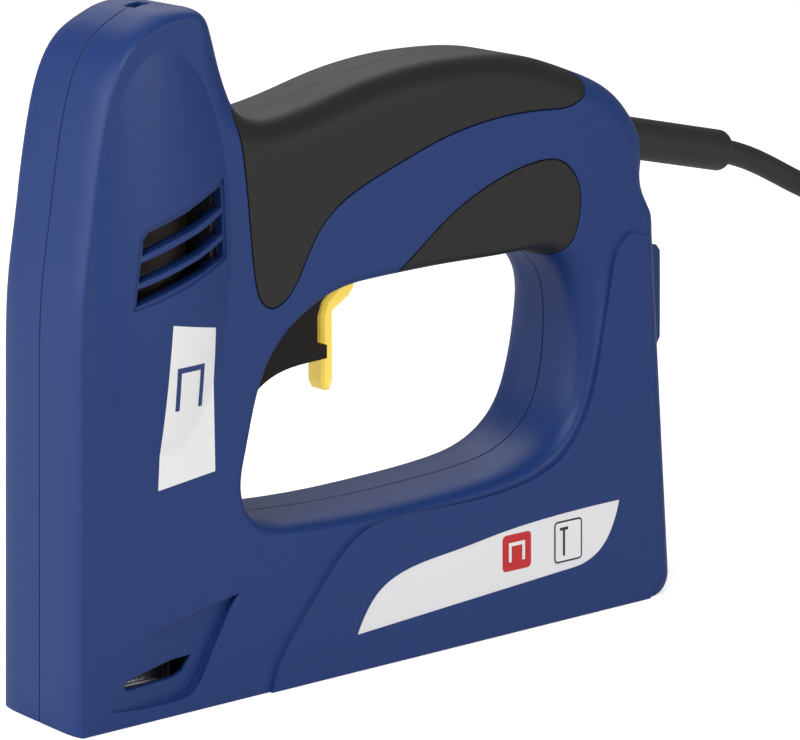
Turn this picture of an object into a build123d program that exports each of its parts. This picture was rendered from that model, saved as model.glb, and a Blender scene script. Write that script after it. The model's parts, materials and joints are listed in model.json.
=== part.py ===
from build123d import *
import os
from math import cos, sin, radians

# Electric stapler. Millimetres. +X runs from the nose to the rear, +Y to the right-hand
# side, +Z up. The origin is where a staple leaves the nose, on the base plane.

# ---- housing ----
HALF_WIDTH = 17.4          # side faces of the lower body and the handle
PANEL_PROUD = 1.0          # raised rear side panel
HEAD_HALF_WIDTH = 21.5     # widest point of the head
BULGE_CENTRE = (17.0, 117.0)   # middle of the head's side bulge (x, z)
BULGE_REACH = (21.0, 51.0)     # how far the bulge spreads along X and Z
BULGE_DEPTH = 13.0         # half-depth of the ellipsoid that makes the bulge
WALL = 2.8                 # shell wall
GRIP_DEPTH = 1.3           # thickness of the soft grips, let into the shell
EDGE_RADIUS = 8.0          # rounding of the long outside edges
FRONT_SHARE = 0.2          # share of that rounding on the front face
REAR_SHARE = 0.65          # share of it on the rear post
FLARE_DEPTH = 9.0          # depth of the flare round the hand opening
FLARE_SHARE = 0.36         # its width, as a share of its depth
UPPER_FLARE = 0.8          # more of it at the upper rear corner
SEAM_HALF_WIDTH = 0.18     # groove along the parting line
SEAM_DEPTH = 0.45
GRIP_GAP = 0.4             # groove round each soft grip
SCOOP_DEPTH = 2.0          # deepest part of the hollow round the staple window
SCOOP_RUN = 22.0
VENT_RECESS = 0.6
FRONT_X = -8.8             # front face
BASE_REAR_X = 194.5        # rear end of the base
CORNER_RADIUS = 6.0        # rear lower corner
BASE_OPENING = 7.6         # half-width of the slot in the base for the magazine

# ---- solenoid ----
SOLENOID_X = 20.0          # axis of the coil and plunger
YOKE_BOTTOM = 86.0
YOKE_TOP = 134.0
YOKE_PLATE = 4.0
PLUNGER_RADIUS = 8.0
PLUNGER_BOTTOM = 108.0
PLUNGER_TOP = 160.0
STROKE = 16.0              # travel of the plunger and blade

# ---- driver and magazine ----
BLADE_THICKNESS = 1.2
BLADE_HALF_WIDTH = 5.6
STAPLE_CROWN = 11.4        # outside width of a staple
STAPLE_WIRE = 1.2
STAPLE_TOP = 14.0
STAPLE_LEG = 10.0
STRIP_LENGTH = 48.0
CORE_HALF_WIDTH = 4.3
CORE_TOP = 12.6
RAIL_HALF_WIDTH = 7.4
RAIL_TOP = 16.4
RAIL_WALL = 1.2
RAIL_END_X = 180.8
CAP_X = 187.0              # front of the magazine's end cap
PAD_HALF_WIDTH = 7.5       # release pad on the rear post

# ---- trigger ----
PIVOT_X = 88.0
PIVOT_Z = 108.0
TRIGGER_HALF_WIDTH = 3.5
ARM_TOP = 110.0
SWITCH_X = 96.0
GUARD_HALF_WIDTH = 8.4
TRIGGER_SPRING_X = 106.5

# ---- cord ----
CORD_RADIUS = 3.5
BOOT_RADIUS = 5.9
BOOT_ROOT = (190.0, 125.5)
BOOT_END = (228.0, 117.5)
PLUG_POINT = (343.0, -150.0)

SCREWS = [(4.6, 157.0), (34.3, 144.5), (36.5, 60.0), (72.0, 125.0), (95.0, 30.5),
          (149.0, 142.6), (166.5, 101.0), (166.0, 45.0)]
SCREW_RADIUS = 1.5
BOSS_RADIUS = 3.4


# ---------------------------------------------------------------- helpers
def side(points):
    """Points (x, z) as vectors in the parting plane."""
    return [Vector(x, 0, z) for x, z in points]


def curve(points, start=None, end=None):
    """A spline in the parting plane, with optional end directions (x, z)."""
    if start is None:
        return Spline(*side(points))
    return Spline(*side(points), tangents=side([start, end]))


def line(a, b):
    return Line(*side([a, b]))


def polygon(points):
    """A straight-sided face in the parting plane."""
    return Face(Wire.make_polygon(side(points), close=True))


def loop(points):
    """A face in the parting plane bounded by one closed smooth curve."""
    return Face(Wire([Edge.make_spline(side(points), periodic=True)]))


def across(face, y_low, y_high):
    """The face swept across the width from y_low to y_high."""
    return extrude(Pos(0, y_high, 0) * face, amount=y_high - y_low, dir=(0, -1, 0))


def block(x, y, z):
    """A box between two limits on each axis."""
    size = [b - a for a, b in (x, y, z)]
    centre = [(a + b) / 2 for a, b in (x, y, z)]
    return Pos(*centre) * Box(*size)


def rod(axis, start, length, radius):
    """A cylinder from the point start, along the direction axis."""
    plane = Plane(origin=start, z_dir=axis)
    return extrude(plane * Circle(radius), amount=length)


def tube(axis, start, length, outer, inner):
    plane = Plane(origin=start, z_dir=axis)
    return extrude(plane * (Circle(outer) - Circle(inner)), amount=length)


def mirrored(shape):
    return mirror(shape, about=Plane.XZ)


def coil_spring(start, axis, length, radius, wire, turns):
    """A compression spring along the direction axis from the point start."""
    pitch = (length - 2 * wire) / turns
    helix = Helix(pitch=pitch, height=pitch * turns, radius=radius)
    section = Plane(origin=helix @ 0, z_dir=helix % 0) * Circle(wire)
    spring = sweep(section, path=helix)
    return Plane(origin=start, z_dir=axis) * Pos(0, 0, wire) * spring


# ---------------------------------------------------------------- housing outlines
def drawn_in(points, start, end, shifts, clamped=True):
    """A spline through the points, each moved to the right of the curve by its shift.
    The end points move squarely to the start and end directions, which the curve also
    follows when it is clamped."""
    guide = curve(points, start, end) if clamped else curve(points)
    directions = [guide.tangent_at(guide.param_at_point(Vector(x, 0, z))) for x, z in points]
    directions[0] = Vector(start[0], 0, start[1]).normalized()
    directions[-1] = Vector(end[0], 0, end[1]).normalized()
    moved = []
    for (x, z), shift, direction in zip(points, shifts, directions):
        moved.append((x + shift * direction.Z, z - shift * direction.X))
    drawn = curve(moved, start, end) if clamped else curve(moved)
    return drawn, moved[0], moved[-1]


REAR_TOP = (188.0, 101.0)
REAR_LOW = (BASE_REAR_X - 0.37, CORNER_RADIUS)
REAR_SLOPE = (REAR_LOW[0] - REAR_TOP[0], REAR_LOW[1] - REAR_TOP[1])
BROW = [(FRONT_X, 88), (-8.0, 110), (-6.2, 123), (-3.9, 139.6), (-1.6, 152), (2.4, 164),
        (7.8, 171), (15, 175.4), (25, 177.6)]
NAPE = [(25, 177.6), (28.8, 177.1), (32.2, 175.3), (34.6, 171.4), (37.2, 163.6), (39.8, 156.3),
        (42.6, 150.8), (46.6, 147.4), (52, 146.2), (60, 146.9), (71.3, 149.3), (84.1, 152.6),
        (97.2, 155), (107, 156.0), (116.6, 156.3)]
END = [(116.6, 156.3), (130.2, 155.9), (142, 154.2), (159, 148.8), (168.3, 145.0), (176.3, 139.6),
       (182.2, 132.4), (184.7, 122.5)]
NECK = [(184.7, 122.5), (184.1, 118.4), (184.2, 115.0), (185.4, 111.6), (187.3, 107.6), REAR_TOP]
CORNER = [REAR_LOW, (BASE_REAR_X - 1.8, 1.7), (BASE_REAR_X - CORNER_RADIUS, 0)]


def outline(inset, rounding=0.0):
    """Side view of the housing, drawn in by inset all round, and by rounding where the
    long edges are rounded: fully on the handle, less on the front and rear, not on the base."""
    full = inset + rounding
    slight = inset + FRONT_SHARE * rounding
    low = inset + REAR_SHARE * rounding
    brow_shifts = [inset + rounding * max(FRONT_SHARE, (z - 160) / 50) for x, z in BROW]
    crown = brow_shifts[-1]
    nape_shifts = [min(full, crown + rounding * max(0, i - 1) / 5) for i in range(len(NAPE))]
    neck_shifts = [max(low, full - (full - low) * i / 4) for i in range(len(NECK))]
    brow, brow_low, _ = drawn_in(BROW, (0, 1), (1, 0), brow_shifts)
    nape, _, _ = drawn_in(NAPE, (1, 0), (1, 0), nape_shifts, clamped=False)
    end, _, _ = drawn_in(END, (1, 0), (0, -1), [full] * len(END))
    neck, _, neck_low = drawn_in(NECK, (0, -1), REAR_SLOPE, neck_shifts)
    low_points = [(x - low, z + inset) for x, z in CORNER]
    corner = curve(low_points, REAR_SLOPE, (-1, 0))
    foot = (FRONT_X + slight, inset)
    edges = [line(foot, brow_low), brow, nape, end, neck, line(neck_low, low_points[0]),
             corner, line(low_points[-1], foot)]
    return Face(Wire(edges))


HAND = [(64, 41.6), (84, 40.8), (107.6, 41.2), (128, 42.4), (144, 46), (153.6, 53.6), (157.9, 64),
        (159.4, 78), (157.4, 91), (149.5, 99), (134, 101), (112, 101), (90, 100.4), (73, 98.4),
        (61, 92.6), (52.6, 84.4), (48, 74), (45, 62), (43.6, 54), (46.2, 46.6), (53, 42.8)]


def flare_share(x, z):
    """How strongly the hand opening widens to the side: most at its upper rear corner."""
    rearward = min(1, max(0, (x - 145) / 12))
    upward = min(1, max(0, (z - 60) / 31)) ** 1.5
    return FLARE_SHARE + UPPER_FLARE * rearward * upward


def hand_opening(grow, flare=0.0, extra=0.0):
    """Side view of the opening for the hand, enlarged by grow, by its share of flare, and
    by extra at the upper rear corner."""
    guide = Edge.make_spline(side(HAND), periodic=True)
    moved = []
    for x, z in HAND:
        direction = guide.tangent_at(guide.param_at_point(Vector(x, 0, z)))
        share = flare_share(x, z)
        shift = grow + flare * share + extra * (share - FLARE_SHARE)
        moved.append((x + shift * direction.Z, z - shift * direction.X))
    return loop(moved)


def rounded_edge(section, y, radius):
    """Loft that rounds a long edge: section(rounding) is the side view at each depth."""
    steps = []
    for angle in (0, 30, 60, 90):
        depth = y - radius + radius * sin(radians(angle))
        steps.append(Pos(0, -depth, 0) * section(radius * (1 - cos(radians(angle)))))
    return loft(steps)


def body(inset):
    """Half of the housing without its opening, its long edges rounded."""
    y = HALF_WIDTH - inset
    radius = max(EDGE_RADIUS - inset, 1.5)
    edge = rounded_edge(lambda rounding: outline(inset, rounding), y, radius)
    return across(outline(inset), -(y - radius), 0) + edge


def bulge():
    """Ellipsoid whose cap swells the side of the head."""
    centre_y = HEAD_HALF_WIDTH - BULGE_DEPTH
    spread = (1 - ((HALF_WIDTH - centre_y) / BULGE_DEPTH) ** 2) ** 0.5
    ball = scale(Sphere(1), by=(BULGE_REACH[0] / spread, BULGE_DEPTH, BULGE_REACH[1] / spread))
    ball = Pos(BULGE_CENTRE[0], -centre_y, BULGE_CENTRE[1]) * ball
    return ball & block((-30, 80), (-40, -HALF_WIDTH + 0.4), (20, 200))


def hand_cut(inset):
    """The hand opening, flared towards the side face."""
    y = HALF_WIDTH - inset
    radius = FLARE_DEPTH - inset
    flare = rounded_edge(lambda rounding: hand_opening(inset, rounding), y, radius)
    return across(hand_opening(inset), -40, 1) + flare


def left_envelope(inset):
    """Outer form of the left half, drawn in by inset, with the hand opening cut."""
    form = body(inset) - hand_cut(inset)
    return form + bulge() if inset == 0 else form


def cavity():
    """Space inside the left half, with a pocket into the head's bulge."""
    return body(WALL) - across(hand_opening(WALL, extra=6), -40, 1) + block((4, 30), (-16.6, -2), (100, 145))


envelopes = {}


def envelope(inset):
    if inset not in envelopes:
        envelopes[inset] = left_envelope(inset)
    return envelopes[inset]


# ---------------------------------------------------------------- housing features
def side_panel():
    """Raised rear side panel, one step proud of the lower body."""
    step = curve([(50.5, 0), (53.2, 7), (61.5, 17.9), (69.9, 27.7), (78, 34.8), (87, 37.7)])
    under = curve([(87, 37.7), (110, 38.0), (128.4, 38.5), (139.4, 40.2), (148.6, 43.5), (155.2, 48.8),
                   (161.9, 61.2), (165.6, 76.7), (168, 88.4), (171.4, 99), (176.5, 103)])
    rest = [line((176.5, 103), (182.2, 101)), line((182.2, 101), (188.2, 7)),
            line((188.2, 7), (183, 0)), line((183, 0), (50.5, 0))]
    return Face(Wire([step, under] + rest))


def panel_solid():
    return across(side_panel(), -HALF_WIDTH - PANEL_PROUD, -HALF_WIDTH)


def window():
    return polygon([(5.2, 9.4), (6.4, 8.9), (21.0, 9.2), (24, 10.4), (26.6, 13.9), (19.8, 13.9),
                    (9.6, 12.1), (5.4, 11.2)])


def scoop():
    """Hollow around the staple window: it deepens towards its slanted lower edge."""
    edge = curve([(1.5, 4.6), (9, 3.8), (20, 3.6), (26.6, 5.0), (30.4, 10.4), (34.8, 18.4),
                  (40.6, 27.2)])
    rest = [line((40.6, 27.2), (14, 22)), line((14, 22), (1.5, 15)), line((1.5, 15), (1.5, 4.6))]
    region = across(Face(Wire([edge] + rest)), -30, -HALF_WIDTH + 4)
    slope = SCOOP_DEPTH / SCOOP_RUN
    tilted = Plane(origin=(3, -HALF_WIDTH, 12), z_dir=(0.82 * slope, -1, -0.57 * slope))
    return region & extrude(tilted * Rectangle(200, 200), amount=10)


def vents():
    """Three curved ventilation slots in the side of the head."""
    slots = [[(8.3, 117.6), (8.6, 121.4), (10, 123.3), (21, 126.7), (29.7, 130.3), (34.2, 132.0),
              (34.6, 126.5), (24.2, 122.5), (16.2, 120.1)],
             [(7.4, 110.9), (7.9, 115.9), (16.2, 118.3), (26.0, 121.4), (34.7, 125.0),
              (35.0, 119.8), (26.0, 116.0), (16.2, 113.2)],
             [(6.8, 105.1), (7.1, 109.3), (16.2, 111.7), (26.0, 114.7), (35.0, 118.2),
              (35.3, 113.8), (22.6, 109.6), (13.3, 106.9)]]
    return [polygon(s) for s in slots]


def vent_frame():
    """Shallow recess that surrounds the slots."""
    return polygon([(5.8, 104.0), (6.9, 118), (7.6, 122.2), (9.6, 124.4), (21, 128.0), (30, 131.6),
                    (35.2, 133.9), (36.2, 113.4), (22.6, 108.4), (13.3, 105.7)])


def seam():
    """Narrow groove along the parting line, outside and inside the hand opening."""
    outside = across(outline(0), -SEAM_HALF_WIDTH, 1) - across(outline(SEAM_DEPTH), -1, 2)
    inside = across(hand_opening(SEAM_DEPTH), -SEAM_HALF_WIDTH, 1)
    return [outside, inside]


TOP_GRIP = [(39.3, 150), (41.3, 141.3), (43.3, 127.4), (44.6, 114.2), (45.8, 105.6), (47.6, 100.6),
            (51, 98.2), (54.6, 99.0), (62.3, 108.7), (69, 118.6), (79.2, 125.3), (93.7, 130.8),
            (106.9, 135.3), (120.3, 138.3), (133.9, 139.7), (147.7, 139.6), (156.1, 140.4),
            (160.6, 144.0), (158.0, 148.7)]
INNER_GRIP = [(93.7, 103.0), (99, 106.7), (111.3, 115.4), (123, 121.2), (133.9, 124.8),
              (143.1, 126.4), (149.5, 126.0), (154.4, 123), (157.6, 117.5), (157.8, 111),
              (156.2, 105), (152.4, 100), (147.7, 96.8)]


def top_grip_region(gap=0.0):
    """Side view of the top grip, drawn in by gap along its lower edge."""
    shifts = [-gap] * len(TOP_GRIP)
    edge, first, last = drawn_in(TOP_GRIP, (0.2, -1), (-0.5, 1), shifts, clamped=False)
    rest = [line(last, (157, 166)), line((157, 166), (60, 166)), line((60, 166), (46, 151.8)),
            line((46, 151.8), first)]
    return Face(Wire([edge] + rest))


def inner_grip_region(gap=0.0):
    """Side view of the inner grip, drawn in by gap along its upper edge."""
    shifts = [gap] * len(INNER_GRIP)
    edge, first, last = drawn_in(INNER_GRIP, (0.82, 0.57), (-0.82, -0.57), shifts, clamped=False)
    rest = [line(last, (147.7, 90)), line((147.7, 90), (93.7, 90)), line((93.7, 90), first)]
    return Face(Wire([edge] + rest))


def label_region():
    edge = curve([(78.5, 9.6), (81, 14.2), (85.5, 19.4), (95.3, 23.7), (111.8, 25.8),
                  (128.7, 27.8), (145.9, 29), (171.3, 29.5)])
    rear = curve([(171.3, 29.5), (168.5, 22.2), (164.9, 17.6), (159.9, 14.8), (155, 13.8)])
    rest = line((155, 13.8), (78.5, 9.6))
    return Face(Wire([edge, rear, rest]))


def grip(region):
    """The part of the left half's skin that a soft grip takes up."""
    return (envelope(0) & across(region, -40, 0)) - envelope(GRIP_DEPTH)


def label():
    y = -HALF_WIDTH - PANEL_PROUD
    return across(label_region(), y + 0.1, y + 0.5)


def bosses(y_low, y_high):
    solids = []
    for x, z in SCREWS:
        solids.append(rod((0, 1, 0), (x, y_low, z), y_high - y_low, BOSS_RADIUS))
    return solids


def ribs():
    """Inside ribs that hold the nose guide, the magazine rail, the yoke and the switch."""
    y = -HALF_WIDTH + WALL - 0.3
    solids = [block((FRONT_X + 2, -2.75), (y, -2), (z - 1, z + 1)) for z in (14, 30, 46)]
    solids += [block((3.3, 6.5), (y, -6), (z - 1, z + 1)) for z in (26, 44)]
    solids += [block((x - 1, x + 1), (y, -RAIL_HALF_WIDTH), (2.5, 14)) for x in (40, 75, 110, 145, 170)]
    solids += [block((26, 38), (y, -3.2), (82.5, 85.9)), block((88, 103), (y, -3.3), (124.2, 127))]
    solids += [block((104, 109), (y, 0), (124.2, 127)), block((CAP_X - 5, CAP_X - 0.5), (y, 0), (101.2, 103.2))]
    return solids


def cord_axis():
    dx = BOOT_END[0] - BOOT_ROOT[0]
    dz = BOOT_END[1] - BOOT_ROOT[1]
    return Vector(dx, 0, dz).normalized()


def on_cord(distance):
    """Point on the boot's axis, measured from the boot's root."""
    return Vector(BOOT_ROOT[0], 0, BOOT_ROOT[1]) + cord_axis() * distance


def shell_cuts():
    """Everything cut out of the left shell."""
    skin = -HALF_WIDTH
    cuts = [across(window(), -30, -5), scoop()]
    cuts += [across(v, -30, -12) for v in vents()]
    cuts.append(vent_hollow())
    cuts.append(block((FRONT_X + 3.4, BASE_REAR_X + 5), (-BASE_OPENING, 1), (-1, 3)))
    cuts.append(block((CAP_X - 8, BASE_REAR_X + 5), (-9.2, 1), (-1, 19.9)))
    cuts.append(block((77.6, 93.4), (-TRIGGER_HALF_WIDTH - 0.6, 1), (90, 106)))
    cuts.append(block((CAP_X - 4, CAP_X + 8), (-5.2, 1), (66.5, 96.5)))
    cuts.append(block((18.5, 23.5), (-2.6, 1), (172, 180)))
    cuts.append(rod(cord_axis(), on_cord(-14), 40, BOOT_RADIUS + 0.15))
    cuts.append(across(label_region(), -30, skin - PANEL_PROUD + 0.5))
    return cuts + seam()


def vent_hollow():
    """The vent frame's recess follows the bulge: the same ellipsoid, moved inwards."""
    return across(vent_frame(), -30, -HALF_WIDTH + 2) - (Pos(0, VENT_RECESS, 0) * bulge()) \
        - block((-30, 60), (-HALF_WIDTH + VENT_RECESS, 0), (90, 150))


def left_shell_blank():
    skin = envelope(0) - cavity()
    skin = skin + panel_solid()
    inside = envelope(0)
    for stem in bosses(-HALF_WIDTH + 1, 0) + ribs():
        skin = skin + (stem & inside)
    for cut in shell_cuts():
        skin = skin - cut
    return skin - grip(top_grip_region()) - (grip(inner_grip_region()) - trigger_room())


def trigger_room():
    """The inner grip stops short of the trigger's slot."""
    return block((70, 93.6), (-30, 1), (80, 110))


def left_top_grip():
    return grip(top_grip_region(GRIP_GAP))


def left_inner_grip():
    return grip(inner_grip_region(GRIP_GAP)) - trigger_room()


def left_shell(blank):
    """The left shell takes the screws in blind holes."""
    for x, z in SCREWS:
        blank = blank - rod((0, 1, 0), (x, -13.0, z), 14, SCREW_RADIUS + 0.03)
    return blank


def screw_head_y(x, z):
    """Depth of the screw head's seat in the right shell."""
    return 12.4


def right_shell(blank):
    """The right shell has through holes with deep counterbores."""
    shell = mirrored(blank)
    for x, z in SCREWS:
        shell = shell - rod((0, 1, 0), (x, -1, z), 40, SCREW_RADIUS + 0.2)
        shell = shell - rod((0, 1, 0), (x, screw_head_y(x, z), z), 30, 2.9)
    return shell


def housing_screws():
    screws = []
    for x, z in SCREWS:
        seat = screw_head_y(x, z)
        shank = rod((0, 1, 0), (x, -12.0, z), seat + 12.0, SCREW_RADIUS)
        cap = rod((0, 1, 0), (x, seat, z), 2.0, 2.7)
        slot = block((x - 0.4, x + 0.4), (seat + 1.0, seat + 3), (z - 2, z + 2))
        cross = block((x - 2, x + 2), (seat + 1.0, seat + 3), (z - 0.4, z + 0.4))
        screws.append(shank + cap - slot - cross)
    return Compound(screws)


# ---------------------------------------------------------------- solenoid and driver
def solenoid_yoke():
    frame = block((4, 38), (-13.9, 13.9), (YOKE_BOTTOM, YOKE_TOP))
    frame -= block((3, 38 - YOKE_PLATE), (-15, 15), (YOKE_BOTTOM + YOKE_PLATE, YOKE_TOP - YOKE_PLATE))
    frame -= rod((0, 0, 1), (SOLENOID_X, 0, YOKE_TOP - 10), 20, PLUNGER_RADIUS + 0.3)
    return frame - rod((0, 0, 1), (SOLENOID_X, 0, YOKE_BOTTOM - 1), 20, 3.3)


def coil_bobbin():
    low = YOKE_BOTTOM + YOKE_PLATE
    high = YOKE_TOP - YOKE_PLATE
    centre = (SOLENOID_X, 0, low)
    spool = tube((0, 0, 1), centre, high - low, 9.6, PLUNGER_RADIUS + 0.08)
    spool += tube((0, 0, 1), centre, 2, 13.7, PLUNGER_RADIUS + 0.08)
    return spool + tube((0, 0, 1), (SOLENOID_X, 0, high - 2), 2, 13.7, PLUNGER_RADIUS + 0.08)


def solenoid_coil():
    low = YOKE_BOTTOM + YOKE_PLATE + 2
    high = YOKE_TOP - YOKE_PLATE - 2
    return tube((0, 0, 1), (SOLENOID_X, 0, low), high - low, 13.3, 9.6)


def plunger():
    body = rod((0, 0, 1), (SOLENOID_X, 0, PLUNGER_BOTTOM), PLUNGER_TOP - PLUNGER_BOTTOM, PLUNGER_RADIUS)
    flange = rod((0, 0, 1), (SOLENOID_X, 0, PLUNGER_TOP), 2.6, 9.7)
    stem = rod((0, 0, 1), (SOLENOID_X, 0, 74), PLUNGER_BOTTOM - 74, 3.0)
    return body + flange + stem


def bottom_bumper():
    return tube((0, 0, 1), (SOLENOID_X, 0, YOKE_BOTTOM + YOKE_PLATE), 1.8, 7.8, 3.5)


def top_bumper():
    return block((11.5, 26), (-7, 7), (PLUNGER_TOP + 2.9, 168))


def return_spring():
    return coil_spring((SOLENOID_X, 0, YOKE_TOP + 0.05), (0, 0, 1), PLUNGER_TOP - YOKE_TOP - 0.1, 9.3, 0.7, 6)


def driver_bracket():
    arm = block((BLADE_THICKNESS / 2, 26), (-6, 6), (68, 74))
    for z in (69.6, 72.4):
        arm -= rod((1, 0, 0), (0, -3 if z < 71 else 3, z), 7, 1.0)
    return arm - rod((0, 0, 1), (SOLENOID_X, 0, 60), 20, 1.5)


def blade_rivets():
    rivets = []
    for y, z in ((-3, 69.6), (3, 72.4)):
        shank = rod((1, 0, 0), (-0.6, y, z), 7.6, 1.0)
        cap = rod((1, 0, 0), (-1.4, y, z), 0.8, 1.5)
        rivets.append(shank + cap)
    return Compound(rivets)


def driver_blade():
    half = BLADE_THICKNESS / 2
    blade = block((-half, half), (-BLADE_HALF_WIDTH, BLADE_HALF_WIDTH), (STROKE, 74))
    for y, z in ((-3, 69.6), (3, 72.4)):
        blade -= rod((1, 0, 0), (-2, y, z), 4, 1.0)
    return blade


def nose_guide_front():
    plate = block((-2.7, -0.7), (-9, 9), (3.1, 50)) + block((-2.7, -0.7), (-7.4, 7.4), (0.3, 3.1))
    return plate - block((-5, -1.6), (-2, 2), (20, 40))


def nose_guide_rear():
    return block((0.75, 3.2), (-9, 9), (17.0, 50))


def magazine_rail():
    """Fixed steel channel, open underneath, with a window on each side."""
    rail = block((3.4, RAIL_END_X), (-RAIL_HALF_WIDTH, RAIL_HALF_WIDTH), (3.0, RAIL_TOP))
    inner = RAIL_HALF_WIDTH - RAIL_WALL
    rail -= block((0, 200), (-inner, inner), (0, RAIL_TOP - RAIL_WALL))
    return rail - block((6, 26), (-10, 10), (6.5, 14.2))


def magazine_drawer():
    """Core that carries the staples, on a sole plate that closes the base."""
    core = block((0.9, CAP_X - 6), (-CORE_HALF_WIDTH, CORE_HALF_WIDTH), (2.6, CORE_TOP))
    core -= block((52, 172), (-3.1, 3.1), (3.8, 11.4))
    core -= block((52, 172), (-1.1, 1.1), (11, 13))
    sole = block((0.9, CAP_X), (-7.3, 7.3), (0.6, 2.6))
    return core + sole


def magazine_cap():
    back = CAP_X + 8.2
    cap = block((CAP_X, back), (-8.9, 8.9), (0.6, 19.5))
    cap = fillet(cap.edges().filter_by(Axis.Z).group_by(Axis.X)[-1], 2.5)
    for z in (5, 8.5, 12, 15.5):
        cap -= block((back - 0.7, back + 1), (-6.5, 6.5), (z - 0.6, z + 0.6))
    return cap + block((CAP_X - 5.8, CAP_X), (-4.3, 4.3), (3, 19.5))


def staple_strip():
    """A strip of glued staples; the grooves mark the single wires."""
    half = STAPLE_CROWN / 2
    strip = block((0.9, 0.9 + STRIP_LENGTH), (-half, half), (STAPLE_TOP - STAPLE_LEG, STAPLE_TOP))
    inner = half - STAPLE_WIRE
    strip -= block((0, 60), (-inner, inner), (0, STAPLE_TOP - STAPLE_WIRE))
    count = int(STRIP_LENGTH / STAPLE_WIRE)
    grooves = []
    for i in range(1, count):
        x = 0.9 + i * STAPLE_WIRE
        grooves.append(block((x - 0.08, x + 0.08), (-half - 1, -half + 0.15), (0, 20)))
        grooves.append(block((x - 0.08, x + 0.08), (half - 0.15, half + 1), (0, 20)))
        grooves.append(block((x - 0.08, x + 0.08), (-half, half), (STAPLE_TOP - 0.15, STAPLE_TOP + 1)))
    return strip - grooves


def pusher():
    x0 = 0.9 + STRIP_LENGTH + 0.2
    saddle = block((x0, x0 + 13), (-5.8, 5.8), (3.4, STAPLE_TOP + 0.4))
    saddle -= block((x0 - 1, x0 + 14), (-CORE_HALF_WIDTH - 0.1, CORE_HALF_WIDTH + 0.1), (0, CORE_TOP + 0.1))
    web = block((x0 + 5, x0 + 11), (-0.9, 0.9), (7, CORE_TOP + 0.5))
    return saddle + web + rod((1, 0, 0), (x0 + 5, 0, 7.4), 6, 2.6)


def pusher_spring():
    x0 = 0.9 + STRIP_LENGTH + 0.2 + 11.05
    return coil_spring((x0, 0, 7.4), (1, 0, 0), 171.9 - x0, 2.2, 0.4, 26)


# ---------------------------------------------------------------- trigger and switch
def trigger():
    """Bent finger blade, its root inside the handle, and the arm that lifts the button."""
    y = TRIGGER_HALF_WIDTH
    blade = polygon([(90.0, 100), (89.6, 96.6), (87.8, 94.4), (82.3, 91.2), (82.4, 72.6), (81.3, 70.5),
                     (79.7, 70.5), (78.6, 72.6), (78.5, 90.6), (79.8, 94.2), (84.1, 97.6), (85.3, 100)])
    shape = across(blade, -y, y)
    long_edges = [e for e in shape.edges() if abs(abs(e.center().Y) - y) < 0.01 and e.center().Z < 99.9]
    shape = chamfer(long_edges, 0.8)
    shape += block((83, 90.6), (-y, y), (99.9, 106))
    shape += across(polygon([(83, 104), (90.6, 104), (92, 104.5), (108.5, 106.5), (108.5, ARM_TOP),
                             (92, ARM_TOP), (88, 112.5), (83, 112)]), -3, 3)
    shape += rod((0, 1, 0), (PIVOT_X, -y, PIVOT_Z), 2 * y, 4.2)
    return shape - rod((0, 1, 0), (PIVOT_X, -20, PIVOT_Z), 40, 2.06)


def trigger_pin():
    reach = HALF_WIDTH - WALL - 0.05
    return rod((0, 1, 0), (PIVOT_X, -reach, PIVOT_Z), 2 * reach, 2.0)


def trigger_spring():
    return coil_spring((TRIGGER_SPRING_X, 0, ARM_TOP + 0.1), (0, 0, 1), 124.1 - ARM_TOP, 2.0, 0.35, 6)


def microswitch_body():
    case = block((87.5, 102.8), (-3.2, 3.2), (114.2, 124.1))
    return case - rod((0, 0, 1), (SWITCH_X, 0, 113), 8.5, 1.3)


def switch_button():
    return rod((0, 0, 1), (SWITCH_X, 0, ARM_TOP + 0.15), 7.6, 1.2)


def finger_guard():
    """Dark web behind the front post, with a thin curved flange in front of the trigger."""
    web = polygon([(46, 72), (52, 78), (70.6, 82.2), (73.0, 83.6), (73.0, 92), (74.4, 95.6),
                   (77.4, 98.2), (78.6, 104), (50, 104), (44, 90)])
    top = curve([(44, 66), (52.0, 78.8), (56.3, 81), (61.5, 82.5), (76.2, 84.0)])
    low = curve([(76.2, 80.5), (66.3, 79.9), (59.5, 78.6), (53, 75.2), (47, 66)])
    flange = Face(Wire([top, line((76.2, 84.0), (76.2, 80.5)), low, line((47, 66), (44, 66))]))
    solid = across(web, -GUARD_HALF_WIDTH, GUARD_HALF_WIDTH)
    solid += across(flange, -GUARD_HALF_WIDTH, GUARD_HALF_WIDTH)
    solid = solid & across(hand_opening(-0.02), -20, 20)
    return solid


# ---------------------------------------------------------------- electrics
def control_board():
    return block((112, 158), (5.2, 6.8), (108, 139))


def board_capacitor():
    return rod((1, 0, 0), (116, 0.1, 131), 18, 5.0)


def board_thyristor():
    tab = block((140, 150), (3.9, 5.1), (112, 127))
    return tab + block((140, 150), (0.8, 3.9), (112, 121))


def board_fuse():
    return rod((0, 0, 1), (155, 2.6, 110), 20, 2.5)


def wire(points, radius):
    path = Spline(*[Vector(*p) for p in points])
    section = Plane(origin=path @ 0, z_dir=path % 0) * Circle(radius)
    return sweep(section, path=path)


def coil_wires():
    leads = []
    for lift in (0, 3.2):
        leads.append(wire([(111.8, 6 - lift / 3, 133 + lift), (90, 7.5, 134 + lift), (66, 8, 133 + lift),
                           (50, 8.4, 124 + lift), (38.9, 8.4, 116 + 2 * lift)], 0.9))
    return Compound(leads)


def mains_wires():
    leads = []
    for shift in (-1.5, 1.5):
        start = on_cord(-27.0)
        leads.append(wire([(start.X, shift, start.Z), (161.2, 3 + shift, 131.5),
                           (159.2, 6.0 + shift / 4, 126 + 3 * shift)], 0.9))
    return Compound(leads)


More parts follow.
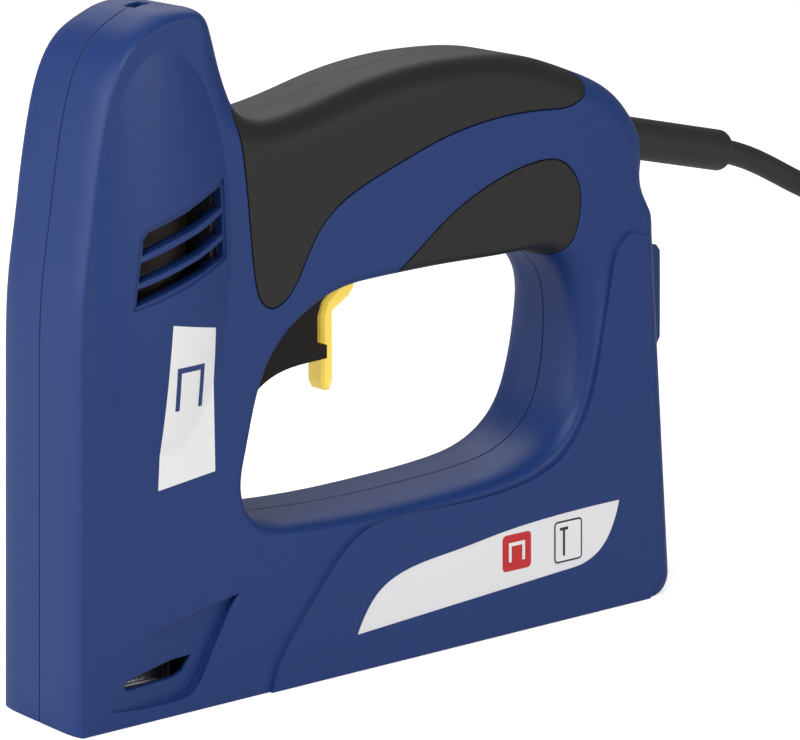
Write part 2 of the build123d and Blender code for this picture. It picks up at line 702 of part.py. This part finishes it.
# ---------------------------------------------------------------- cord
def cord_boot():
    direction = cord_axis()
    sleeve = rod(direction, on_cord(-8.0), 47, BOOT_RADIUS)
    sleeve = fillet(sleeve.edges().sort_by(Axis.X)[-1], 1.8)
    for i in range(3):
        for up in (1, -1):
            centre = on_cord(9 + 4.2 * i) + Vector(0, 0, up * 6.4)
            slot = Plane(origin=centre, z_dir=direction) * Box(3.0, 3.4, 1.1)
            sleeve -= slot
    return sleeve - rod(direction, on_cord(-30), 80, CORD_RADIUS + 0.02)


def cord_clamp():
    centre = on_cord(-18.0)
    clamp = Plane(origin=centre, z_dir=cord_axis()) * Box(11.0, 22.0, 6.0)
    clamp -= rod(cord_axis(), on_cord(-30), 30, CORD_RADIUS + 0.02)
    for y in (-8, 8):
        clamp -= clamp_screw_shank(y)
    return clamp


def clamp_screw_shank(y):
    up = Vector(-cord_axis().Z, 0, cord_axis().X)
    start = on_cord(-18.0) - up * 5.4 + Vector(0, y, 0)
    return rod(up, start, 11, 1.2)


def clamp_screws():
    screws = []
    up = Vector(-cord_axis().Z, 0, cord_axis().X)
    for y in (-8, 8):
        top = on_cord(-18.0) + up * 5.5 + Vector(0, y, 0)
        screws.append(clamp_screw_shank(y) + rod(up, top, 1.4, 2.2))
    return Compound(screws)


def cord_path():
    start = on_cord(-26.0)
    leave = on_cord(38.0)
    x, y = PLUG_POINT
    straight = Line(start, leave)
    floor = CORD_RADIUS + 0.05
    drop = Spline(leave, Vector(258, 0, 105.3), Vector(300, -5, 84), Vector(334, -16, 46), Vector(350, -38, 13),
                  Vector(351, -70, floor + 0.9), Vector(347, -105, floor + 1.0), Vector(x, y, 6.85),
                  tangents=[cord_axis(), Vector(0, -1, 0)])
    return Wire([straight, drop])


def cord():
    path = cord_path()
    section = Plane(origin=path @ 0, z_dir=path % 0) * Circle(CORD_RADIUS)
    return sweep(section, path=path)


def plug_body():
    x, y = PLUG_POINT
    outline = Pos(x, 0, 6.85) * Rot(90, 0, 0) * RectangleRounded(34, 13.5, 6.2)
    shell = extrude(Pos(0, y - 4, 0) * outline, amount=32, dir=(0, -1, 0))
    collar = rod((0, -1, 0), (x, y + 16, 6.85), 20, 5.2)
    collar -= rod((0, -1, 0), (x, y + 17, 6.85), 17.5, CORD_RADIUS + 0.4)
    shell = fillet(shell.edges().group_by(Axis.Y)[-1], 3.0)
    body = shell + collar
    for side_x in (-9.3, 9.3):
        body -= rod((0, 1, 0), (x + side_x, y - 37, 6.85), 12, 2.0)
    return body


def plug_pins():
    x, y = PLUG_POINT
    pins = []
    for side_x in (-9.3, 9.3):
        pin = rod((0, 1, 0), (x + side_x, y - 55, 6.85), 30, 2.0)
        pin = fillet(pin.edges().sort_by(Axis.Y)[0], 1.2)
        pin -= tube((0, 1, 0), (x + side_x, y - 46, 6.85), 10, 3.0, 1.7)
        pins.append(pin)
    return Compound(pins)


def pin_sleeves():
    x, y = PLUG_POINT
    sleeves = []
    for side_x in (-9.3, 9.3):
        sleeves.append(tube((0, 1, 0), (x + side_x, y - 46, 6.85), 10, 2.0, 1.7))
    return Compound(sleeves)


# ---------------------------------------------------------------- magazine release
def latch_slider():
    """Pad on the rear post, its stem through the wall, and the leg inside."""
    pad = polygon([(190.7, 65.6), (188.8, 95.0), (192, 96.2), (195.5, 95.4), (197.6, 92.7), (198.3, 87.5),
                   (198.3, 75.5), (197.3, 70.0), (194.8, 66.0)])
    wide = PAD_HALF_WIDTH
    plan = [(180, wide), (196.8, wide), (198.3, wide - 1.5), (198.3, 1.5 - wide), (196.8, -wide), (180, -wide)]
    plan_face = Face(Wire.make_polygon([Vector(x, y, 60) for x, y in plan], close=True))
    slider = across(pad, -wide, wide) & extrude(plan_face, amount=40, dir=(0, 0, 1))
    stem = block((CAP_X - 3, CAP_X + 4.4), (-4.8, 4.8), (67.5, 90.5))
    leg = block((CAP_X - 5.4, CAP_X - 2), (-4.8, 4.8), (19.8, 90.5))
    return slider + stem + leg


def latch_spring():
    return coil_spring((CAP_X - 3.7, 0, 90.6), (0, 0, 1), 10.5, 1.2, 0.3, 6)


# ---------------------------------------------------------------- output
def build():
    blank = left_shell_blank()
    top_grip = left_top_grip()
    inner_grip = left_inner_grip()
    return {
        "left_shell": left_shell(blank),
        "right_shell": right_shell(blank),
        "left_top_grip": top_grip,
        "right_top_grip": mirrored(top_grip),
        "left_inner_grip": inner_grip,
        "right_inner_grip": mirrored(inner_grip),
        "left_label": label(),
        "right_label": mirrored(label()),
        "housing_screws": housing_screws(),
        "finger_guard": finger_guard(),
        "solenoid_yoke": solenoid_yoke(),
        "coil_bobbin": coil_bobbin(),
        "solenoid_coil": solenoid_coil(),
        "bottom_bumper": bottom_bumper(),
        "top_bumper": top_bumper(),
        "plunger": plunger(),
        "return_spring": return_spring(),
        "driver_bracket": driver_bracket(),
        "blade_rivets": blade_rivets(),
        "driver_blade": driver_blade(),
        "nose_guide_front": nose_guide_front(),
        "nose_guide_rear": nose_guide_rear(),
        "magazine_rail": magazine_rail(),
        "magazine_drawer": magazine_drawer(),
        "magazine_cap": magazine_cap(),
        "staple_strip": staple_strip(),
        "pusher": pusher(),
        "pusher_spring": pusher_spring(),
        "latch_slider": latch_slider(),
        "latch_spring": latch_spring(),
        "trigger": trigger(),
        "trigger_pin": trigger_pin(),
        "trigger_spring": trigger_spring(),
        "microswitch_body": microswitch_body(),
        "switch_button": switch_button(),
        "control_board": control_board(),
        "board_capacitor": board_capacitor(),
        "board_thyristor": board_thyristor(),
        "board_fuse": board_fuse(),
        "coil_wires": coil_wires(),
        "mains_wires": mains_wires(),
        "cord_boot": cord_boot(),
        "cord": cord(),
        "cord_clamp": cord_clamp(),
        "clamp_screws": clamp_screws(),
        "plug_body": plug_body(),
        "plug_pins": plug_pins(),
        "pin_sleeves": pin_sleeves(),
    }


os.makedirs("parts", exist_ok=True)
for name, shape in build().items():
    export_step(shape, "parts/" + name + ".step")
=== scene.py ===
import json
import math

import bpy
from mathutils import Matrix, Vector
from mathutils.bvhtree import BVHTree
from mathutils.geometry import delaunay_2d_cdt

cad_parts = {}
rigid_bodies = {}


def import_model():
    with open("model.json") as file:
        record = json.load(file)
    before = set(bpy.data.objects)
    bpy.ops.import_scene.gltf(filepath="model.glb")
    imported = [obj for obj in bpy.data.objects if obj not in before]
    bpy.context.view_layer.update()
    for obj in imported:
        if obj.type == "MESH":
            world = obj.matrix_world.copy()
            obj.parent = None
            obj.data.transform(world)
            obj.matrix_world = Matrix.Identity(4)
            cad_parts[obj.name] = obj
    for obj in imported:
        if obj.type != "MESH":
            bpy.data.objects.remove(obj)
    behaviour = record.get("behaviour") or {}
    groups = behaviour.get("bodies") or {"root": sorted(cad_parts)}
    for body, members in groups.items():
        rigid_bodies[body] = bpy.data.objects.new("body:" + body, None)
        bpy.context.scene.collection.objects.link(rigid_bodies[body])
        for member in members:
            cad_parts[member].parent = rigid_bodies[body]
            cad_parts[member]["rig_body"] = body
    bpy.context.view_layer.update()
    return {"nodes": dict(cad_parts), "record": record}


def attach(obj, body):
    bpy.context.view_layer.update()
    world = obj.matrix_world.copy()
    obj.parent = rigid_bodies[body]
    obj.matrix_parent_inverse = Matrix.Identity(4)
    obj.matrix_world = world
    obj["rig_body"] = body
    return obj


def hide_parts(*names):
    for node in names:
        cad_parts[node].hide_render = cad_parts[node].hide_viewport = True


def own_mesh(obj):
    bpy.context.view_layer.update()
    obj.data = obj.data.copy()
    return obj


MM = 0.001

# Camera: level, to the left of and in front of the nose, looking down by lens shift.
CAMERA_PLACE = Vector((-0.5412, -0.7930, 0.3061))
CAMERA_HEADING = math.radians(50.7)      # between the view and the tool's long axis
CAMERA_LENS = 170.86
CAMERA_SHIFT = -1.0875
EDGE_SOFTNESS = 0.0006                   # how wide a moulded edge catches the light, in m

BLUE = (0.009, 0.038, 0.178)             # the housing's plastic and the mark on the badge
TRIGGER_ARM_RISE = 0.0039                # how far the trigger's arm lifts its spring's end, in m

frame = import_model()
nodes = frame["nodes"]


# ---------------------------------------------------------------- materials
def new_material(name, colour, roughness, metallic=0.0, coat=0.0, gloss=0.5):
    """A material with one principled surface; returns it with its node tree and surface."""
    material = bpy.data.materials.new(name)
    material.use_nodes = True
    tree = material.node_tree
    surface = tree.nodes["Principled BSDF"]
    surface.inputs["Base Color"].default_value = (*colour, 1)
    surface.inputs["Roughness"].default_value = roughness
    surface.inputs["Metallic"].default_value = metallic
    surface.inputs["Coat Weight"].default_value = coat
    surface.inputs["Specular IOR Level"].default_value = gloss
    return material, tree, surface


def add_grain(tree, surface, scale, strength, distance, rough_low, rough_high):
    """Fine moulded texture: noise in the bump and, gently, in the roughness."""
    place = tree.nodes.new("ShaderNodeTexCoord")
    noise = tree.nodes.new("ShaderNodeTexNoise")
    noise.inputs["Scale"].default_value = scale
    noise.inputs["Detail"].default_value = 3.0
    bump = tree.nodes.new("ShaderNodeBump")
    bump.inputs["Strength"].default_value = strength
    bump.inputs["Distance"].default_value = distance
    soften = tree.nodes.new("ShaderNodeBevel")
    soften.samples = 4
    soften.inputs["Radius"].default_value = EDGE_SOFTNESS
    tree.links.new(soften.outputs["Normal"], bump.inputs["Normal"])
    spread = tree.nodes.new("ShaderNodeMapRange")
    spread.inputs["To Min"].default_value = rough_low
    spread.inputs["To Max"].default_value = rough_high
    tree.links.new(place.outputs["Object"], noise.inputs["Vector"])
    tree.links.new(noise.outputs["Fac"], bump.inputs["Height"])
    tree.links.new(noise.outputs["Fac"], spread.inputs["Value"])
    tree.links.new(bump.outputs["Normal"], surface.inputs["Normal"])
    tree.links.new(spread.outputs["Result"], surface.inputs["Roughness"])


def grained(name, colour, scale, strength, distance, rough, **more):
    """Moulded plastic or rubber with a fine texture; distance is the texture's depth in m."""
    material, tree, surface = new_material(name, colour, rough, **more)
    add_grain(tree, surface, scale, strength, distance, rough - 0.08, rough + 0.08)
    return material


def plain(name, colour, rough, **more):
    """An even surface without texture."""
    return new_material(name, colour, rough, **more)[0]


def glowing(name, colour, rough, glow):
    """Plastic with painted light: an emission of its own colour brightens it evenly, in shade too."""
    material, _, surface = new_material(name, colour, rough, coat=0.3)
    surface.inputs["Emission Color"].default_value = (*colour, 1)
    surface.inputs["Emission Strength"].default_value = glow
    return material


def brushed(name, colour, rough):
    """Metal with fine lines along the tool's length."""
    material, tree, surface = new_material(name, colour, rough, metallic=1.0)
    place = tree.nodes.new("ShaderNodeTexCoord")
    stretch = tree.nodes.new("ShaderNodeMapping")
    stretch.inputs["Scale"].default_value = (40, 900, 900)
    noise = tree.nodes.new("ShaderNodeTexNoise")
    noise.inputs["Scale"].default_value = 1.0
    spread = tree.nodes.new("ShaderNodeMapRange")
    spread.inputs["To Min"].default_value = rough - 0.1
    spread.inputs["To Max"].default_value = rough + 0.15
    tree.links.new(place.outputs["Object"], stretch.inputs["Vector"])
    tree.links.new(stretch.outputs["Vector"], noise.inputs["Vector"])
    tree.links.new(noise.outputs["Fac"], spread.inputs["Value"])
    tree.links.new(spread.outputs["Result"], surface.inputs["Roughness"])
    return material


materials = {
    "blue_plastic": grained("blue_plastic", BLUE, scale=2600, strength=0.35, distance=0.00014,
                            rough=0.44, gloss=0.36),
    "grip_rubber": grained("grip_rubber", (0.012, 0.012, 0.012), scale=3000, strength=0.5,
                           distance=0.00015, rough=0.50, gloss=0.4),
    "label_grey": plain("label_grey", (0.93, 0.92, 0.93), 0.42, coat=0.1),
    # Painted light: the trigger glows with its own yellow, though it is no lamp.
    "trigger_yellow": glowing("trigger_yellow", (1.0, 0.72, 0.10), 0.30, glow=0.36),
    "black_plastic": grained("black_plastic", (0.008, 0.004, 0.004), scale=2200, strength=0.2,
                             distance=0.0001, rough=0.55, gloss=0.25),
    "cord_rubber": grained("cord_rubber", (0.014, 0.014, 0.014), scale=2500, strength=0.3,
                           distance=0.0001, rough=0.50),
    "steel": brushed("steel", (0.55, 0.55, 0.56), 0.32),
    "spring_steel": plain("spring_steel", (0.50, 0.51, 0.52), 0.28, metallic=1.0),
    "yoke_steel": brushed("yoke_steel", (0.44, 0.45, 0.47), 0.36),
    "staple_steel": brushed("staple_steel", (0.66, 0.66, 0.68), 0.30),
    "copper": plain("copper", (0.020, 0.010, 0.008), 0.45, metallic=0.2),
    "bobbin_plastic": plain("bobbin_plastic", (0.02, 0.02, 0.02), 0.5),
    "bumper_rubber": plain("bumper_rubber", (0.03, 0.03, 0.03), 0.7),
    "board_green": plain("board_green", (0.012, 0.12, 0.04), 0.4, coat=0.3),
    "capacitor_blue": plain("capacitor_blue", (0.02, 0.06, 0.22), 0.35),
    "fuse_glass": plain("fuse_glass", (0.62, 0.66, 0.66), 0.12),
    "wire_red": plain("wire_red", (0.40, 0.02, 0.015), 0.4),
    "pin_brass": plain("pin_brass", (0.66, 0.62, 0.54), 0.22, metallic=1.0),
}


def dress(node, material):
    """Gives a CAD node one of the materials above."""
    mesh = nodes[node].data
    mesh.materials.clear()
    mesh.materials.append(materials[material])


for entry in frame["record"]["subparts"]:
    dress(entry["node"], entry["material_slot"])


# ---------------------------------------------------------------- springs shown as copies
def shrink_with(joint_name, node, travel=None):
    """Shows a spring as a copy of its node, on the node's body, and hides the node.
    The record's direction and fixed end are not read; the travel, a slide's upper limit unless given,
    is not used."""
    joints = frame["record"]["behaviour"]["joints"]
    joint = next(j for j in joints if j["name"] == joint_name)
    if travel is None:
        travel = joint["range_m"][1]
    original = nodes[node]
    copy = bpy.data.objects.new(node + "_shown", original.data.copy())
    bpy.context.scene.collection.objects.link(copy)
    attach(copy, original["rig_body"])
    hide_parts(node)
    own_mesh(copy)


shrink_with("driver_stroke", "return_spring")
shrink_with("pusher_slide", "pusher_spring")
shrink_with("trigger_pull", "trigger_spring", TRIGGER_ARM_RISE)
shrink_with("release_slide", "latch_spring")


# ---------------------------------------------------------------- prints on the housing
# Outlines on the side of the housing, as (x, z) in mm, and boxes as (x0, z0, x1, z1).
BADGE = [(17.3, 99.2), (32.1, 96.4), (33.0, 59.6), (15.2, 57.4)]
BADGE_MARK = (19.2, 77.0, 28.4, 88.0)
BADGE_WIRE = 1.4                 # width of the staple's line on the badge
RED_ICON = (128.6, 16.8, 138.8, 26.6)
WHITE_ICON = (147.2, 15.8, 157.4, 27.2)
ICON_RADIUS = 1.2
ICON_WIRE = 1.0                  # width of the staple's line on the red icon
BORDER = 0.5
NAIL_HEAD = 1.5                  # half the width of the nail's head
NAIL_SHANK = 0.4                 # half the width of the nail's shank
LIFTS = (0.05, 0.09, 0.13)       # heights of the stacked prints above the surface, in mm
PRINT_STEP = 1.5                 # mesh size of a print, in mm
TOUCHING = 1e-4                  # points closer than this are one point, in mm

CLEAR_OF_HOUSING = 0.05          # |y| that lies outside the housing, in m
PANEL_HALF_WIDTH = 0.0182        # |y| of a print where no surface lies below it, in m


def surface_below(tree, x, z, side):
    """Y of the housing's outer surface at (x, z), on the side -1 (left) or 1 (right)."""
    start = Vector((x, side * CLEAR_OF_HOUSING, z))
    hit = tree.ray_cast(start, Vector((0, -side, 0)))
    return hit[0].y if hit[0] is not None else side * PANEL_HALF_WIDTH


def tree_of(*names):
    """One search tree over the faces of the named nodes."""
    verts, faces = [], []
    for name in names:
        mesh = nodes[name].data
        base = len(verts)
        verts += [v.co.copy() for v in mesh.vertices]
        faces += [[base + i for i in p.vertices] for p in mesh.polygons]
    return BVHTree.FromPolygons(verts, faces)


def grid_fill(outline, step):
    """Triangles that fill the outline, with inner points every step, in mm."""
    xs = [p[0] for p in outline]
    zs = [p[1] for p in outline]
    points = [Vector(p) for p in outline]
    count = len(points)
    x = min(xs) + step / 2
    while x < max(xs):
        z = min(zs) + step / 2
        while z < max(zs):
            points.append(Vector((x, z)))
            z += step
        x += step
    edges = [(i, (i + 1) % count) for i in range(count)]
    result = delaunay_2d_cdt(points, edges, [list(range(count))], 1, TOUCHING)
    return result[0], result[2]


def refined(outline, step):
    """The closed outline with extra points so that no edge is longer than step."""
    points = []
    for a, b in zip(outline, outline[1:] + outline[:1]):
        length = math.dist(a, b)
        parts = max(1, math.ceil(length / step))
        points += [(a[0] + (b[0] - a[0]) * i / parts, a[1] + (b[1] - a[1]) * i / parts)
                   for i in range(parts)]
    return points


def print_on(name, outline, material, side, lift, tree):
    """A thin printed area that follows the housing's surface. The outline is in mm."""
    flat, faces = grid_fill(refined(outline, PRINT_STEP), PRINT_STEP)
    verts = []
    for p in flat:
        x, z = p.x * MM, p.y * MM
        verts.append((x, surface_below(tree, x, z, side) + side * lift * MM, z))
    mesh = bpy.data.meshes.new(name)
    turned = [f if side < 0 else f[::-1] for f in faces]
    mesh.from_pydata(verts, [], [list(f) for f in turned])
    mesh.materials.append(material)
    piece = bpy.data.objects.new(name, mesh)
    bpy.context.scene.collection.objects.link(piece)
    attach(piece, "housing")
    return piece


def rounded_box(x0, z0, x1, z1, radius):
    """Outline of a rectangle with rounded corners."""
    points = []
    corners = [(x1 - radius, z1 - radius, 0), (x0 + radius, z1 - radius, 90),
               (x0 + radius, z0 + radius, 180), (x1 - radius, z0 + radius, 270)]
    for cx, cz, start in corners:
        for turn in (0, 30, 60, 90):
            a = math.radians(start + turn)
            points.append((cx + radius * math.cos(a), cz + radius * math.sin(a)))
    return points


white_print = plain("white_print", (0.93, 0.93, 0.93), 0.45)
red_print = plain("red_print", (0.62, 0.015, 0.02), 0.40)
black_print = plain("black_print", (0.02, 0.02, 0.02), 0.45)
badge_blue = plain("badge_blue", BLUE, 0.45)


def staple_shape(x0, z0, x1, z1, wire):
    """Outline of a staple with its legs down, inside the given box."""
    return [(x0, z0), (x0, z1), (x1, z1), (x1, z0), (x1 - wire, z0), (x1 - wire, z1 - wire),
            (x0 + wire, z1 - wire), (x0 + wire, z0)]


def side_name(side):
    return "left" if side < 0 else "right"


def nail_shape(x, z0, z1, head, shank):
    """Outline of a nail that points down, centred on x; head and shank are half widths."""
    return [(x - head, z1), (x + head, z1), (x + head, z1 - 2 * shank), (x + shank, z1 - 2 * shank),
            (x + shank, z0), (x - shank, z0), (x - shank, z1 - 2 * shank), (x - head, z1 - 2 * shank)]


def badge(side, tree):
    """Plain light panel on the head, with a generic staple drawn on it."""
    name = side_name(side)
    print_on(name + "_badge", BADGE, white_print, side, LIFTS[0], tree)
    mark = staple_shape(*BADGE_MARK, BADGE_WIRE)
    print_on(name + "_badge_mark", mark, badge_blue, side, LIFTS[1], tree)


def icons(side, tree):
    """Two generic pictograms on the label: a staple on red and a nail on white."""
    name = side_name(side)
    x0, z0, x1, z1 = RED_ICON
    red_field = rounded_box(x0, z0, x1, z1, ICON_RADIUS)
    print_on(name + "_red_icon", red_field, red_print, side, LIFTS[0], tree)
    staple = staple_shape(x0 + 2.2, z0 + 2.4, x1 - 2.2, z1 - 2.2, ICON_WIRE)
    print_on(name + "_staple_mark", staple, white_print, side, LIFTS[1], tree)
    x0, z0, x1, z1 = WHITE_ICON
    edge = rounded_box(x0, z0, x1, z1, ICON_RADIUS)
    field = rounded_box(x0 + BORDER, z0 + BORDER, x1 - BORDER, z1 - BORDER, ICON_RADIUS - BORDER)
    print_on(name + "_icon_border", edge, black_print, side, LIFTS[0], tree)
    print_on(name + "_icon_field", field, white_print, side, LIFTS[1], tree)
    nail = nail_shape(x0 + 3.5, z0 + 1.8, z1 - 1.8, NAIL_HEAD, NAIL_SHANK)
    print_on(name + "_nail_mark", nail, black_print, side, LIFTS[2], tree)


for side, names in ((-1, ("left_shell", "left_label")), (1, ("right_shell", "right_label"))):
    skin = tree_of(*names)
    badge(side, skin)
    icons(side, skin)


# ---------------------------------------------------------------- floor, light and camera
FLOOR_SIZE = 30
FLOOR_DROP = 0.0002              # keeps the floor just below the base
FLOOR_GLOW = 0.62
STUDIO_LIGHT = 0.26              # strength of the even light from all sides
MIDDLE = (0.08, 0, 0.09)         # middle of the housing
NOSE = (0.0, 0, 0.09)
# Lamps: name, place, what it points at, size in m, and power in W.
LAMPS = [
    ("key", (-0.9, -0.5, 1.2), MIDDLE, (0.9, 0.9), 13),
    ("rim", (0.6, 0.9, 0.9), MIDDLE, (0.8, 0.6), 2.5),
    ("side", (0.5, -1.4, 0.5), MIDDLE, (0.7, 0.9), 6),
    ("front", (-1.3, 0.5, 0.5), NOSE, (0.8, 0.8), 8),
]


def add_floor():
    """Pale floor; the glow that only the camera sees keeps its shadows pale."""
    bpy.ops.mesh.primitive_plane_add(size=FLOOR_SIZE, location=(0, 0, -FLOOR_DROP))
    floor = bpy.context.object
    floor.name = "floor"
    material, tree, surface = new_material("floor_white", (0.90, 0.90, 0.90), 0.9, gloss=0.0)
    surface.inputs["Emission Color"].default_value = (1, 1, 1, 1)
    seen = tree.nodes.new("ShaderNodeLightPath")
    glow = tree.nodes.new("ShaderNodeMath")
    glow.operation = "MULTIPLY"
    glow.inputs[1].default_value = FLOOR_GLOW
    tree.links.new(seen.outputs["Is Camera Ray"], glow.inputs[0])
    tree.links.new(glow.outputs["Value"], surface.inputs["Emission Strength"])
    floor.data.materials.append(material)


def add_area(name, place, target, size, power):
    """A rectangular lamp that faces its target."""
    light = bpy.data.lights.new(name, "AREA")
    light.shape = "RECTANGLE"
    light.size = size[0]
    light.size_y = size[1]
    light.energy = power
    lamp = bpy.data.objects.new(name, light)
    lamp.location = place
    lamp.rotation_mode = "QUATERNION"
    lamp.rotation_quaternion = (Vector(target) - Vector(place)).to_track_quat("-Z", "Y")
    bpy.context.scene.collection.objects.link(lamp)


def add_light():
    """Even white surroundings and the lamps."""
    world = bpy.data.worlds.new("studio")
    bpy.context.scene.world = world
    world.use_nodes = True
    background = world.node_tree.nodes["Background"]
    background.inputs["Color"].default_value = (1, 1, 1, 1)
    background.inputs["Strength"].default_value = STUDIO_LIGHT
    for lamp in LAMPS:
        add_area(*lamp)


def add_camera():
    """The lens shift works only at the camera's own place, so other views stay centred."""
    camera = bpy.data.cameras.new("camera")
    camera.lens = CAMERA_LENS
    camera.sensor_width = 36
    camera.clip_start = 0.05
    camera.clip_end = 50
    eye = bpy.data.objects.new("camera", camera)
    eye.location = CAMERA_PLACE
    eye.rotation_mode = "QUATERNION"
    look = Vector((math.cos(CAMERA_HEADING), math.sin(CAMERA_HEADING), 0))
    eye.rotation_quaternion = look.to_track_quat("-Z", "Y")
    bpy.context.scene.collection.objects.link(eye)
    bpy.context.scene.camera = eye
    driver = camera.driver_add("shift_y").driver
    height = driver.variables.new()
    height.name = "height"
    height.type = "TRANSFORMS"
    height.targets[0].id = eye
    height.targets[0].transform_type = "LOC_Z"
    height.targets[0].transform_space = "WORLD_SPACE"
    driver.expression = f"{CAMERA_SHIFT} if abs(height - {CAMERA_PLACE.z:.4f}) < 0.0001 else 0"


add_floor()
add_light()
add_camera()
bpy.context.scene.view_settings.view_transform = "Standard"
